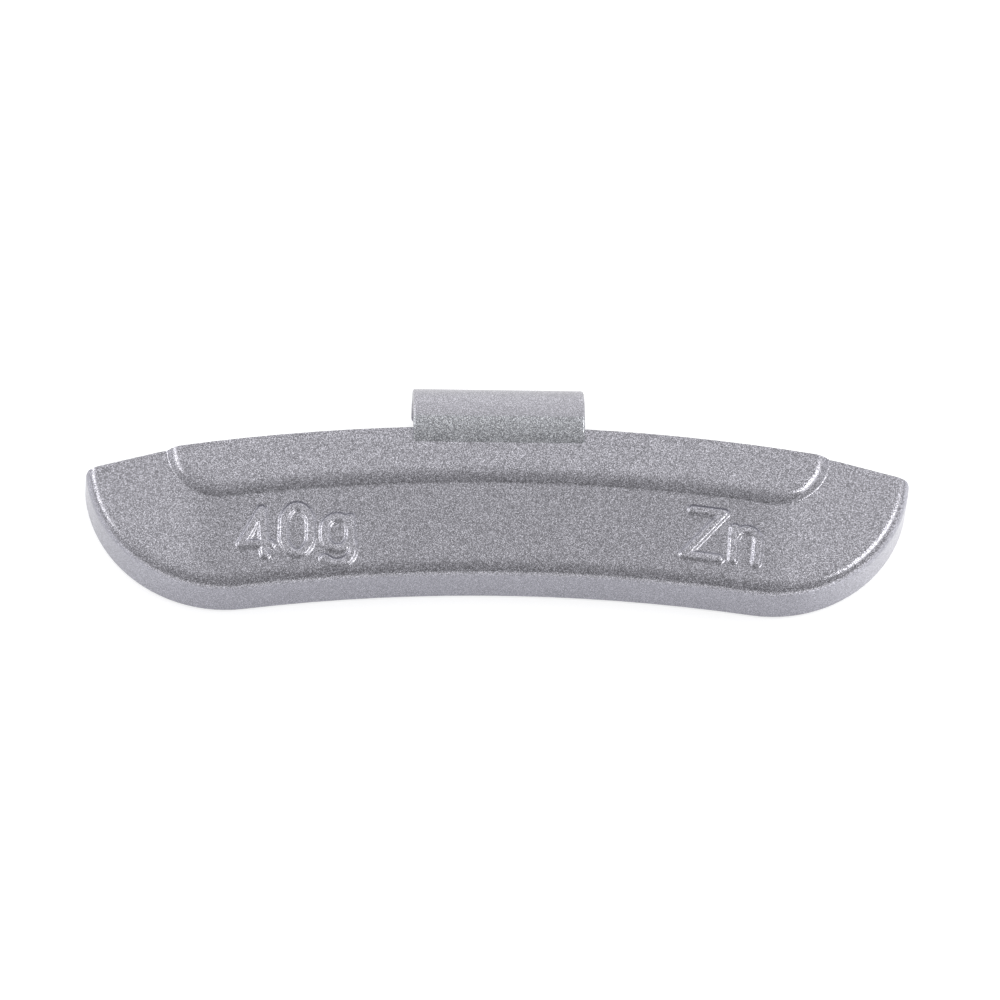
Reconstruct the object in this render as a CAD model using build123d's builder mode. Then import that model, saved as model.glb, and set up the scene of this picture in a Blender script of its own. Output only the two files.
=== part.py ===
from build123d import *
import os
from math import asin, atan2, cos, degrees, radians, sin, tan

# Clip-on wheel balance weight: a zinc casting poured round the leg of a spring steel clip.
# The weight lies on its back. X runs along its length, Y points away from the wheel's axle
# and Z is the way its front faces. The origin is the middle of the back face.
# Lengths are in millimetres and angles in degrees.

# Casting outline, at the back face
body_length = 76.0
body_height = 14.8        # top edge to lower edge on the centre line
rim_radius = 175.8        # top edge, which follows the lip of the rim
shoulder_gap = 0.7        # end of the pad to the start of the straight shoulder
shoulder_kink = 5.4       # turn from the top arc into the shoulder
shoulder_run_in = 0.3     # length over which that turn is rounded
end_lean = 4.5            # lean of each end below its top corner
corner_cut = 0.3          # taken off the top corner of each end

# Casting section
body_thickness = 5.2      # back face to front face
draft_angle = 1.5         # lean of the cast walls
front_round = 1.25        # lower edge and ends of the front face
nesting_bevel = 0.7       # top edge of the back face, which sits in the curl of the rim
back_round = 0.4          # lower edge and ends of the back face

# Raised pad that holds the clip
pad_end_margin = 7.6      # end of the casting to the end of the pad
pad_depth = 5.5           # top edge to lower edge on the centre line
pad_height = 0.73         # stands this far out of the front face
pad_end_straight = 0.7    # straight stretch at the top of each end
pad_end_lean = 10.0       # lean of each end
pad_slope = 50.0          # lean of its lower edge and ends
pad_round = 1.5           # lower edge and ends of its face
pad_foot_round = 0.3      # where it meets the front face

# Spring steel clip
clip_width = 15.8
clip_thickness = 1.0
clip_edge_round = 0.25
clip_exit_drop = 1.67     # top edge of the pad to where the strip leaves its face
clip_lean = 40.0          # slope of the strip where it leaves the pad
roll_radius = 4.05        # outside of the roll, as far as its top
tail_turn = 50.0          # how far the tail turns in beyond the top of the roll
tail_clearance = 0.2      # tip of the tail above the back face
neck_radius = 2.0         # bend between the leg and the slanted stretch
leg_depth = 3.4           # front of the leg above the back face
leg_length = 5.0
lock_hole_diameter = 3.0  # filled by the zinc, so that the leg can't pull out

# Places that follow from the sizes above
half_length = body_length / 2
top_y = body_height / 2
rim_centre_y = top_y - rim_radius
draft_slope = tan(radians(draft_angle))

pad_half_length = half_length - pad_end_margin
pad_front = body_thickness + pad_height

shoulder_x = pad_half_length + shoulder_gap
shoulder_turn = degrees(asin(shoulder_x / rim_radius))
shoulder_y = rim_centre_y + rim_radius * cos(radians(shoulder_turn))
shoulder_slope = tan(radians(shoulder_turn + shoulder_kink))
shoulder_radius = shoulder_run_in / tan(radians(shoulder_kink / 2))
corner_y = shoulder_y - (half_length - shoulder_x) * shoulder_slope

front_top_radius = rim_radius - body_thickness * draft_slope
pad_turn = asin(pad_half_length / front_top_radius)
pad_corner_y = rim_centre_y + front_top_radius * cos(pad_turn) - pad_end_straight
pad_open_half = pad_half_length + (body_height - pad_corner_y) * tan(radians(pad_end_lean))

clip_exit_y = top_y - pad_front * draft_slope - clip_exit_drop
neck_rise = neck_radius * (1 - cos(radians(clip_lean)))
neck_run = neck_radius * sin(radians(clip_lean))
slant_run = (pad_front - leg_depth - neck_rise) / tan(radians(clip_lean))
leg_top_y = clip_exit_y - slant_run - neck_run
leg_end_y = leg_top_y - leg_length
roll_centre_z = pad_front - roll_radius * cos(radians(clip_lean))
tail_radius = (roll_centre_z - tail_clearance) / sin(radians(tail_turn))


def draw_lower_edge(half_span, corner_height, arc_radius, lean):
    """Concave lower edge and its rounded ends, from corner to corner.

    Each end leaves its corner downwards, leaning in, and runs smoothly into the lower edge.
    """
    rise = corner_height - rim_centre_y
    reach = half_span * cos(radians(lean)) - rise * sin(radians(lean))
    end_radius = (half_span**2 + rise**2 - arc_radius**2) / (2 * (reach + arc_radius))
    end_x = half_span - end_radius * cos(radians(lean))
    end_y = rise + end_radius * sin(radians(lean))
    end_turn = degrees(atan2(end_y, end_x))
    lower_edge = CenterArc((0, rim_centre_y), arc_radius, end_turn, 180 - 2 * end_turn)
    corner_direction = (-sin(radians(lean)), -cos(radians(lean)))
    right_end = TangentArc((half_span, corner_height), lower_edge @ 0, tangent=corner_direction)
    mirror(right_end, about=Plane.YZ)


# Clip: one strip, bent from the leg inside the casting over the lip of the rim
with BuildPart() as rim_clip:
    with BuildSketch(Plane.YZ):
        with BuildLine():
            leg = Line((leg_end_y, leg_depth), (leg_top_y, leg_depth))
            neck = JernArc(leg @ 1, leg % 1, neck_radius, clip_lean)
            slant = Line(neck @ 1, (clip_exit_y, pad_front))
            roll = JernArc(slant @ 1, slant % 1, roll_radius, -(90 + clip_lean))
            JernArc(roll @ 1, roll % 1, tail_radius, -tail_turn)
            offset(amount=clip_thickness, side=Side.RIGHT)
        make_face()
    extrude(amount=clip_width / 2, both=True)
    with BuildSketch(Plane.XY):
        with Locations((0, leg_end_y + leg_length / 2)):
            Circle(lock_hole_diameter / 2)
    extrude(amount=pad_front, mode=Mode.SUBTRACT)
    strip_sides = rim_clip.faces().filter_by(Axis.X)
    fillet(strip_sides.edges(), radius=clip_edge_round)
rim_clip.part.label = "rim_clip"

# Casting: a drafted slab as thick as the pad, cut back round the pad, then closed round the clip
with BuildPart() as weight_body:
    with BuildSketch(Plane.XY) as outline:
        with BuildLine():
            top_edge = CenterArc((0, rim_centre_y), rim_radius, 90 - shoulder_turn, 2 * shoulder_turn)
            right_shoulder = Line(top_edge @ 0, (half_length, corner_y))
            mirror(right_shoulder, about=Plane.YZ)
            draw_lower_edge(half_length, corner_y, rim_radius - body_height, end_lean)
        make_face()
        shoulder_starts = outline.vertices().sort_by(Axis.Y)[-2:]
        fillet(shoulder_starts, radius=shoulder_radius)
        corners = outline.vertices().group_by(SortBy.DISTANCE)[-1]
        chamfer(corners, length=corner_cut)
    extrude(amount=pad_front, taper=draft_angle)

    with BuildSketch(Plane.XY.offset(body_thickness)):
        Rectangle(2 * body_length, 2 * body_length)
        with BuildLine():
            draw_lower_edge(pad_half_length, pad_corner_y, front_top_radius - pad_depth, pad_end_lean)
            Polyline(
                (pad_half_length, pad_corner_y),
                (pad_open_half, body_height),
                (-pad_open_half, body_height),
                (-pad_half_length, pad_corner_y),
            )
        make_face(mode=Mode.SUBTRACT)
    extrude(amount=2 * pad_height, taper=-pad_slope, mode=Mode.SUBTRACT)

    # Each rounding is started on one edge and runs on round the ends. Counted up from the lowest,
    # the front face's own lower edge and ends are followed by the foot of the pad.
    levels = weight_body.faces().filter_by(Axis.Z).sort_by(Axis.Z)
    back_edges = levels[0].edges().sort_by(Axis.Y)
    front_edges = levels[-2].edges().sort_by(Axis.Y)
    pad_edges = levels[-1].edges().sort_by(Axis.Y)
    fillet(front_edges[3], radius=pad_foot_round)
    fillet(pad_edges[0], radius=pad_round)
    fillet(front_edges[0], radius=front_round)
    chamfer(back_edges[3:], length=nesting_bevel)
    back_edges = weight_body.faces().sort_by(Axis.Z)[0].edges().sort_by(Axis.Y)
    fillet(back_edges[0], radius=back_round)
    add(rim_clip.part, mode=Mode.SUBTRACT)
weight_body.part.label = "weight_body"

os.makedirs("parts", exist_ok=True)
export_step(rim_clip.part, "parts/rim_clip.step")
export_step(weight_body.part, "parts/weight_body.step")
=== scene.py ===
from math import cos, pi, radians, sin

import bmesh
import bpy
from mathutils import Matrix, Vector


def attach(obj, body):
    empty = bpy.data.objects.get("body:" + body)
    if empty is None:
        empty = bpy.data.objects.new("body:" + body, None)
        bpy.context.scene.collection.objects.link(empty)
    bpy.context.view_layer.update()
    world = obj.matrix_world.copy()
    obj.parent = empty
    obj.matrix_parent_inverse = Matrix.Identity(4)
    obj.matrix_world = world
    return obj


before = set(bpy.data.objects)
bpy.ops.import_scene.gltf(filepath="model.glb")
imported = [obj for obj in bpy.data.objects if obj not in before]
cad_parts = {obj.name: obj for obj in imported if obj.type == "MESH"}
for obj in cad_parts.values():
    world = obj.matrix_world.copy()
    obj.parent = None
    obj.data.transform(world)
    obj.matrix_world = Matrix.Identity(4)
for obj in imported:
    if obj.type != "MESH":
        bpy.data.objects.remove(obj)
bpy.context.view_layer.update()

# Lengths are in millimetres and angles in degrees, and MM turns millimetres into Blender's metres.
MM = 0.001

# Front of the casting, and painted shade that makes the middle of that face a little darker
FRONT_FACE = 5.2
PAINTED_SHADE_MIDDLE = -1.2      # X of its middle
PAINTED_SHADE_HALF = 26.5
PAINTED_SHADE_DEPTH = 0.18
PAINTED_SHADE_FADE_ALONG = 2
PAINTED_SHADE_FADE_DOWN = 0.5
PAINTED_SHADE_FADE_UP = 0.3

# Silver of the coat, where it is coarse and where it is smooth; each pair also differs as painted light,
# tinted to how faces and walls, and the clip's low part and roll, look when lit
CASTING_SILVER = (0.36, 0.355, 0.383, 1)
WALL_SILVER = (0.356, 0.353, 0.396, 1)
CLIP_SILVER = (0.408, 0.416, 0.436, 1)
ROLL_SILVER = (0.391, 0.386, 0.414, 1)
COAT_METALLIC = 0.92
COAT_ROUGHNESS = 0.26

# Spray, which leaves a coarse coat on the casting's faces turned towards it and low on the clip; the same
# split also carries painted light between the two silvers
SPRAY = (0, -0.47, 0.88)
SPRAY_ASIDE = 0.5         # cosine up to which the casting's coat is smooth
SPRAY_TOWARDS = 0.9       # cosine from which it is coarse
# the clip's silver also changes here as painted light: the low part lighter and greener than the roll
ROLL_EDGE = 7.83          # Y at which the clip's coat turns smooth
ROLL_EDGE_FADE = 0.2

# Flakes in the coat, and the faint clouds that they lie in
FLAKE_SIZE = 0.05
FLAKE_LEAN = 0.1
GLINT_SMOOTH = 1.1        # spread of the flakes' brightness in the smooth coat
GLINT_COARSE = 0.95       # more of it in the coarse coat
GLINT_MEAN = 0.25         # mean cube of a chance between 0 and 1
CLOUD_DEPTH = 0.08
CLOUD_SCALE = 0.35
CLOUD_DETAIL = 3.0

# Strokes of the raised marks
STROKE_TOP = 0.18         # half of the top's width
STROKE_FOOT = 0.62        # half of the foot's width
STROKE_PULL = 0.147       # handles of the curve from top to foot
STROKE_RAISE = 0.22       # top above the front face
STROKE_SINK = 0.25        # underside below the front face
STROKE_GRAIN = 0.055      # cells in which the strokes are merged
SOFTEN_SHARE = 0.5        # how far each softening goes
SOFTEN_ROUNDS = 2
CURVE_STEPS = 16
END_STEPS = 32
WELD = 0.0001             # points nearer than this become one
OVAL_ACROSS = 0.75        # corners of an oval, as shares of its half width and half height
OVAL_ALONG = 0.72

# Table, whose glow in reflections is brighter from the object's ends outwards, as painted light on the end
# walls
TABLE_SIZE = 6000
TABLE_PAINT = (0.55, 0.55, 0.55, 1)
TABLE_SEEN = 0.64         # glow that the camera sees
TABLE_REFLECTED = 0.54    # glow in reflections
END_START = 26            # distance from the middle where that begins
END_FULL = 36             # and where it is full
RIGHT_END_GLOW = 0.7
LEFT_END_GLOW = 0.25
WHITE = (1, 1, 1, 1)

# Room and lights
ROOM_FRONT = (0.465, 0.465, 0.475, 1)
ROOM_BACK = (1.28, 1.28, 1.3, 1)
LIGHT_DISTANCE = 450

# Camera, as fitted to the photograph
PHOTO_PIXELS = 1000
PIXELS_PER_MM = 10.882
SENSOR = 36.0
VIEW_DISTANCE = 600.0
VIEW_TILT = 28.2
VIEW_SWING = 2.6
VIEW_ROLL = 0.78
VIEW_AIM = Vector((0.1555, 1.0174, 3.2293))
VIEW_NEAR = 10
VIEW_FAR = 100000


class Wire:
    """A socket of a node tree. Arithmetic on it adds Math nodes."""

    def __init__(self, tree, socket=None):
        self.tree = tree
        self.socket = socket

    def __getitem__(self, name):
        """Another output of the same node."""
        return Wire(self.tree, self.socket.node.outputs[name])

    def node(self, kind, settings=None, inputs=None):
        """New node of any kind, with its settings and the values or links of its inputs."""
        made = self.tree.nodes.new(kind)
        for name, value in (settings or {}).items():
            setattr(made, name, value)
        for name, value in (inputs or {}).items():
            if isinstance(value, Wire):
                self.tree.links.new(value.socket, made.inputs[name])
            else:
                made.inputs[name].default_value = value
        return Wire(self.tree, made.outputs[0] if len(made.outputs) else None)

    def math(self, operation, first, second):
        return self.node("ShaderNodeMath", {"operation": operation}, {0: first, 1: second})

    def vector(self, operation, first, second=(0, 0, 0)):
        return self.node("ShaderNodeVectorMath", {"operation": operation}, {0: first, 1: second})

    def scaled(self, factor):
        return self.node("ShaderNodeVectorMath", {"operation": "SCALE"}, {0: self, "Scale": factor})

    def split(self):
        """The vector's parts, by the names X, Y and Z."""
        return self.node("ShaderNodeSeparateXYZ", {}, {"Vector": self})

    def blend(self, factor, first, second):
        """Colour between two others. The Mix node has its colours at inputs 6 and 7 and output 2."""
        mixed = self.node("ShaderNodeMix", {"data_type": "RGBA"}, {0: factor, 6: first, 7: second})
        return mixed[2]

    def ramp(self, low, high):
        """0 below low, 1 above high, and smooth in between."""
        ranged = {"Value": self, "From Min": low, "From Max": high}
        return self.node("ShaderNodeMapRange", {"interpolation_type": "SMOOTHSTEP"}, ranged)

    def __add__(self, other):
        return self.math("ADD", self, other)

    def __radd__(self, other):
        return self.math("ADD", other, self)

    def __sub__(self, other):
        return self.math("SUBTRACT", self, other)

    def __rsub__(self, other):
        return self.math("SUBTRACT", other, self)

    def __mul__(self, other):
        return self.math("MULTIPLY", self, other)

    def __rmul__(self, other):
        return self.math("MULTIPLY", other, self)

    def __abs__(self):
        return self.math("ABSOLUTE", self, 0)


def start_nodes(owner):
    """Empty node tree of a material or world, ready for new nodes."""
    owner.use_nodes = True
    owner.node_tree.nodes.clear()
    return Wire(owner.node_tree)


def place_on_object(make):
    """Place on the object, in millimetres."""
    return make.node("ShaderNodeTexCoord")["Object"].scaled(1 / MM)


def add_object(name, data):
    """New object in the scene, at the origin."""
    holder = bpy.data.objects.new(name, data)
    bpy.context.scene.collection.objects.link(holder)
    return holder


def flake_layer(make, place, facing):
    """Flakes, each as bright as chance has it and lying at its own angle."""
    flakes = make.node("ShaderNodeTexVoronoi", {"feature": "F1"}, {"Vector": place, "Scale": 1 / FLAKE_SIZE})
    lean = make.vector("SUBTRACT", flakes["Color"], (0.5, 0.5, 0.5)).scaled(FLAKE_LEAN)
    flake_facing = make.vector("NORMALIZE", make.vector("ADD", facing, lean))
    chance = make.node("ShaderNodeSeparateColor", {}, {"Color": flakes["Color"]})["Red"]
    glint = chance * chance * chance - GLINT_MEAN
    return glint, flake_facing


def painted_shade_mask(at):
    """Mask of the painted shade: 1 over the middle of the casting's front, and 0 elsewhere."""
    from_middle = abs(at["X"] - PAINTED_SHADE_MIDDLE)
    beyond = from_middle.ramp(PAINTED_SHADE_HALF - PAINTED_SHADE_FADE_ALONG, PAINTED_SHADE_HALF + PAINTED_SHADE_FADE_ALONG)
    reached = at["Z"].ramp(FRONT_FACE - PAINTED_SHADE_FADE_DOWN, FRONT_FACE)
    above = at["Z"].ramp(FRONT_FACE, FRONT_FACE + PAINTED_SHADE_FADE_UP)
    return (1 - beyond) * (reached * (1 - above))


def silver_coat(name, coarse_silver_with_painted_light, smooth_silver_with_painted_light, cast):
    """Satin metallic coat with uneven flakes, coarser where the spray fell, where its silver also shifts as
    painted light.
    """
    material = bpy.data.materials.new(name)
    make = start_nodes(material)
    place = place_on_object(make)
    at = place.split()
    facing = make.node("ShaderNodeNewGeometry")["Normal"]
    if cast:
        towards_spray = make.vector("DOT_PRODUCT", facing, SPRAY)["Value"]
        coarse_and_painted_light = towards_spray.ramp(SPRAY_ASIDE, SPRAY_TOWARDS)
    else:
        # on the clip the split also carries painted light between the roll's silver and the low part's
        coarse_and_painted_light = 1 - at["Y"].ramp(ROLL_EDGE - ROLL_EDGE_FADE, ROLL_EDGE + ROLL_EDGE_FADE)
    glint, flake_facing = flake_layer(make, place, facing)
    clouds = {"Vector": place, "Scale": CLOUD_SCALE, "Detail": CLOUD_DETAIL}
    cloud = make.node("ShaderNodeTexNoise", {}, clouds) - 0.5
    brightness = 1 + (GLINT_SMOOTH + GLINT_COARSE * coarse_and_painted_light) * glint + CLOUD_DEPTH * cloud
    if cast:
        # painted shade: darkens the middle of the casting's front
        brightness = brightness * (1 - PAINTED_SHADE_DEPTH * painted_shade_mask(at))
    # the blend between the two silvers is partly painted light, not only a coarser coat
    coat = make.blend(coarse_and_painted_light, smooth_silver_with_painted_light, coarse_silver_with_painted_light).scaled(brightness)
    finish = {
        "Base Color": coat,
        "Metallic": COAT_METALLIC,
        "Roughness": COAT_ROUGHNESS,
        "Normal": flake_facing,
    }
    surface = make.node("ShaderNodeBsdfPrincipled", {}, finish)
    make.node("ShaderNodeOutputMaterial", {}, {"Surface": surface})
    return material


def white_table():
    """Pale paint that the camera sees as white and that still takes the object's shadow, with painted light
    in its reflections beyond the object's ends.
    """
    material = bpy.data.materials.new("white_table")
    make = start_nodes(material)
    path = make.node("ShaderNodeLightPath")
    along = place_on_object(make).split()["X"]
    # painted light: the table's reflections glow brighter beyond the object's ends
    right_end = along.ramp(END_START, END_FULL)
    left_end = (0 - along).ramp(END_START, END_FULL)
    ends = 1 + RIGHT_END_GLOW * right_end + LEFT_END_GLOW * left_end
    tint = make.blend(path["Is Camera Ray"], ends, WHITE)
    reflected = path["Is Glossy Ray"] + path["Is Transmission Ray"]
    strength = TABLE_SEEN * path["Is Camera Ray"] + TABLE_REFLECTED * reflected
    glow = make.node("ShaderNodeEmission", {}, {"Color": tint, "Strength": strength})
    paint = make.node("ShaderNodeBsdfDiffuse", {}, {"Color": TABLE_PAINT})
    both = make.node("ShaderNodeAddShader", {}, {0: paint, 1: glow})
    make.node("ShaderNodeOutputMaterial", {}, {"Surface": both})
    return material


def lay_table():
    """Table that the object lies on."""
    mesh = bpy.data.meshes.new("table")
    shape = bmesh.new()
    bmesh.ops.create_grid(shape, x_segments=1, y_segments=1, size=TABLE_SIZE / 2 * MM)
    shape.to_mesh(mesh)
    shape.free()
    mesh.materials.append(white_table())
    table = add_object("table", mesh)


def studio_room():
    """Room light: bright behind the object, dimmer behind the camera."""
    world = bpy.data.worlds.new("studio_room")
    bpy.context.scene.world = world
    make = start_nodes(world)
    direction = make.node("ShaderNodeTexCoord")["Generated"].split()
    behind = (direction["Y"] + 1) * 0.5
    sky = make.blend(behind, ROOM_FRONT, ROOM_BACK)
    light = make.node("ShaderNodeBackground", {}, {"Color": sky, "Strength": 1.0})
    make.node("ShaderNodeOutputWorld", {}, {"Surface": light})


def softbox(name, direction, width, height, glow):
    """Soft light that faces the object. Glow is its brightness, where 1 is white."""
    lamp = bpy.data.lights.new(name, "AREA")
    lamp.shape = "RECTANGLE"
    lamp.size = width * MM
    lamp.size_y = height * MM
    lamp.energy = glow * pi * lamp.size * lamp.size_y
    holder = add_object(name, lamp)
    towards = Vector(direction).normalized()
    holder.location = towards * LIGHT_DISTANCE * MM
    holder.rotation_euler = towards.to_track_quat("Z", "Y").to_euler()


def set_camera():
    """Long lens above the front, swung a little to the left, as in the photograph."""
    tilt, swing, roll = radians(VIEW_TILT), radians(VIEW_SWING), radians(VIEW_ROLL)
    back = Vector((-sin(swing), -sin(tilt) * cos(swing), cos(tilt) * cos(swing)))
    level = Vector((0, cos(tilt), sin(tilt))).cross(back).normalized()
    upright = back.cross(level)
    right = level * cos(roll) + upright * sin(roll)
    up = back.cross(right)
    camera = bpy.data.cameras.new("camera")
    camera.sensor_width = SENSOR
    camera.lens = PIXELS_PER_MM * VIEW_DISTANCE * SENSOR / PHOTO_PIXELS
    camera.clip_start = VIEW_NEAR * MM
    camera.clip_end = VIEW_FAR * MM
    holder = add_object("camera", camera)
    turn = Matrix((right, up, back)).transposed().to_4x4()
    holder.matrix_world = Matrix.Translation((VIEW_AIM + back * VIEW_DISTANCE) * MM) @ turn
    bpy.context.scene.camera = holder


def new_curve(name, points, closed):
    """Curve through flat points, and its knots, whose handles the caller sets."""
    curve = bpy.data.curves.new(name, "CURVE")
    curve.dimensions = "3D"
    curve.resolution_u = CURVE_STEPS
    spline = curve.splines.new("BEZIER")
    spline.use_cyclic_u = closed
    spline.bezier_points.add(len(points) - 1)
    for knot, point in zip(spline.bezier_points, points):
        knot.co = (*point, 0)
    return add_object(name, curve), spline.bezier_points


def take_mesh(holder):
    """Mesh of an object as it now stands. The object goes."""
    bpy.context.view_layer.update()
    depsgraph = bpy.context.evaluated_depsgraph_get()
    mesh = bpy.data.meshes.new_from_object(holder.evaluated_get(depsgraph))
    bpy.data.objects.remove(holder)
    return mesh


def ridge_section(whole):
    """Section of a stroke, or its right half: flat top, soft shoulders, and feet that run out into the face.

    Each row is a point with the handles before and after it.
    """
    top, foot, raised, sunk, pull = STROKE_TOP, STROKE_FOOT, STROKE_RAISE, -STROKE_SINK, STROKE_PULL
    right = [
        ((top, raised), (0, raised), (top + pull, raised)),
        ((foot, 0), (foot - pull, 0), (foot, sunk / 2)),
        ((foot, sunk), (foot, sunk / 2), (0, sunk)),
    ]
    if whole:
        rows = right[:]
        for (x, y), before, after in reversed(right):
            rows.append(((-x, y), (-after[0], after[1]), (-before[0], before[1])))
    else:
        top_middle, underside_middle = (0, raised), (0, sunk)
        rows = [(top_middle,) * 3, *right, (underside_middle,) * 3]
    section, knots = new_curve("section", [point for point, before, after in rows], closed=whole)
    for knot, (point, before, after) in zip(knots, rows):
        knot.handle_left_type = "FREE"
        knot.handle_right_type = "FREE"
        knot.handle_left = (*before, 0)
        knot.handle_right = (*after, 0)
    return section


def round_end():
    """Round end of a stroke, turned from half of its section."""
    mesh = take_mesh(ridge_section(whole=False))
    shape = bmesh.new()
    shape.from_mesh(mesh)
    upright = Matrix.Rotation(pi / 2, 3, "X")
    middle, axis = (0, 0, 0), (0, 0, 1)
    bmesh.ops.rotate(shape, cent=middle, matrix=upright, verts=shape.verts)
    half = shape.verts[:] + shape.edges[:]
    bmesh.ops.spin(shape, geom=half, cent=middle, axis=axis, angle=2 * pi, steps=END_STEPS, use_merge=True)
    bmesh.ops.remove_doubles(shape, verts=shape.verts, dist=WELD)
    shape.to_mesh(mesh)
    shape.free()
    return mesh


def add_end(shape, end, point):
    """Put the round end of a stroke at a point."""
    before = set(shape.verts)
    shape.from_mesh(end)
    added = [vertex for vertex in shape.verts if vertex not in before]
    bmesh.ops.translate(shape, vec=(*point, 0), verts=added)


def sweep_strokes(strokes):
    """Ridge along each stroke, with a round end wherever one stops."""
    section = ridge_section(whole=True)
    end = round_end()
    shape = bmesh.new()
    for closed, handles, points in strokes:
        line, knots = new_curve("stroke", points, closed)
        for knot in knots:
            knot.handle_left_type = handles
            knot.handle_right_type = handles
        line.data.twist_mode = "Z_UP"
        line.data.bevel_mode = "OBJECT"
        line.data.bevel_object = section
        line.data.use_fill_caps = True
        shape.from_mesh(take_mesh(line))
        if not closed:
            add_end(shape, end, points[0])
            add_end(shape, end, points[-1])
    bmesh.ops.recalc_face_normals(shape, faces=shape.faces)
    bpy.data.objects.remove(section)
    return shape


def merge_strokes(shape):
    """One mesh, in which the ridges run softly into each other."""
    mesh = bpy.data.meshes.new("strokes")
    shape.to_mesh(mesh)
    shape.free()
    strokes = add_object("strokes", mesh)
    merge = strokes.modifiers.new("merge", "REMESH")
    merge.mode = "VOXEL"
    merge.voxel_size = STROKE_GRAIN
    soften = strokes.modifiers.new("soften", "SMOOTH")
    soften.factor = SOFTEN_SHARE
    soften.iterations = SOFTEN_ROUNDS
    return take_mesh(strokes)


def raise_mark(name, strokes, coat):
    """Raised mark on the front of the casting."""
    mesh = merge_strokes(sweep_strokes(strokes))
    mesh.name = name
    mesh.transform(Matrix.Scale(MM, 4) @ Matrix.Translation((0, 0, FRONT_FACE)))
    mesh.shade_smooth()
    mesh.materials.clear()
    mesh.materials.append(coat)
    mark = add_object(name, mesh)
    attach(mark, "root")


def oval(x, y, half_width, half_height):
    """Points of an upright oval, with sides a little fuller than an ellipse's."""
    across, along = OVAL_ACROSS * half_width, OVAL_ALONG * half_height
    return [
        (x + half_width, y),
        (x + across, y + along),
        (x, y + half_height),
        (x - across, y + along),
        (x - half_width, y),
        (x - across, y - along),
        (x, y - half_height),
        (x + across, y - along),
    ]


# Strokes of the marks: open or closed, straight or bent, which is the type of their handles,
# and the points they run through
OPEN, CLOSED = False, True
STRAIGHT, BENT = "VECTOR", "AUTO"
G_TAIL = [(-13.66, -2.1), (-13.6, -4.0), (-13.5, -5.7), (-14.2, -6.6), (-15.2, -6.72), (-16.0, -6.3)]
N_ARCH = [(21.4, -3.7), (22.0, -3.0), (22.9, -2.85), (23.55, -3.5), (23.55, -5.0), (23.4, -6.2)]
MASS_MARK = [
    (OPEN, STRAIGHT, [(-21.4, -6.0), (-21.75, -1.4)]),
    (OPEN, STRAIGHT, [(-21.75, -1.4), (-23.55, -4.95)]),
    (OPEN, STRAIGHT, [(-23.55, -4.95), (-20.95, -4.9)]),
    (CLOSED, BENT, oval(-18.49, -3.41, 1.23, 2.42)),
    (CLOSED, BENT, oval(-14.81, -3.65, 1.18, 1.6)),
    (OPEN, BENT, G_TAIL),
]
METAL_MARK = [
    (OPEN, STRAIGHT, [(17.75, -0.8), (20.6, -1.15)]),
    (OPEN, STRAIGHT, [(20.6, -1.15), (16.85, -5.4)]),
    (OPEN, STRAIGHT, [(16.85, -5.4), (20.0, -5.82)]),
    (OPEN, STRAIGHT, [(21.55, -2.65), (21.25, -5.9)]),
    (OPEN, BENT, N_ARCH),
]

casting_coat = silver_coat("casting_coat", CASTING_SILVER, WALL_SILVER, cast=True)
clip_coat = silver_coat("clip_coat", CLIP_SILVER, ROLL_SILVER, cast=False)
for node, coat in (("weight_body", casting_coat), ("rim_clip", clip_coat)):
    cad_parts[node].data.materials.clear()
    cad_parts[node].data.materials.append(coat)

raise_mark("mass_mark", MASS_MARK, casting_coat)
raise_mark("metal_mark", METAL_MARK, casting_coat)

lay_table()
studio_room()
softbox("left_light", direction=(-0.79, 0.17, 0.59), width=220, height=90, glow=2.8)
softbox("left_back_light", direction=(-0.69, 0.52, 0.5), width=160, height=110, glow=3.0)
softbox("right_light", direction=(0.69, -0.08, 0.72), width=260, height=110, glow=4.0)
softbox("right_back_light", direction=(0.75, 0.18, 0.63), width=160, height=120, glow=1.5)
set_camera()
bpy.context.scene.view_settings.view_transform = "Standard"
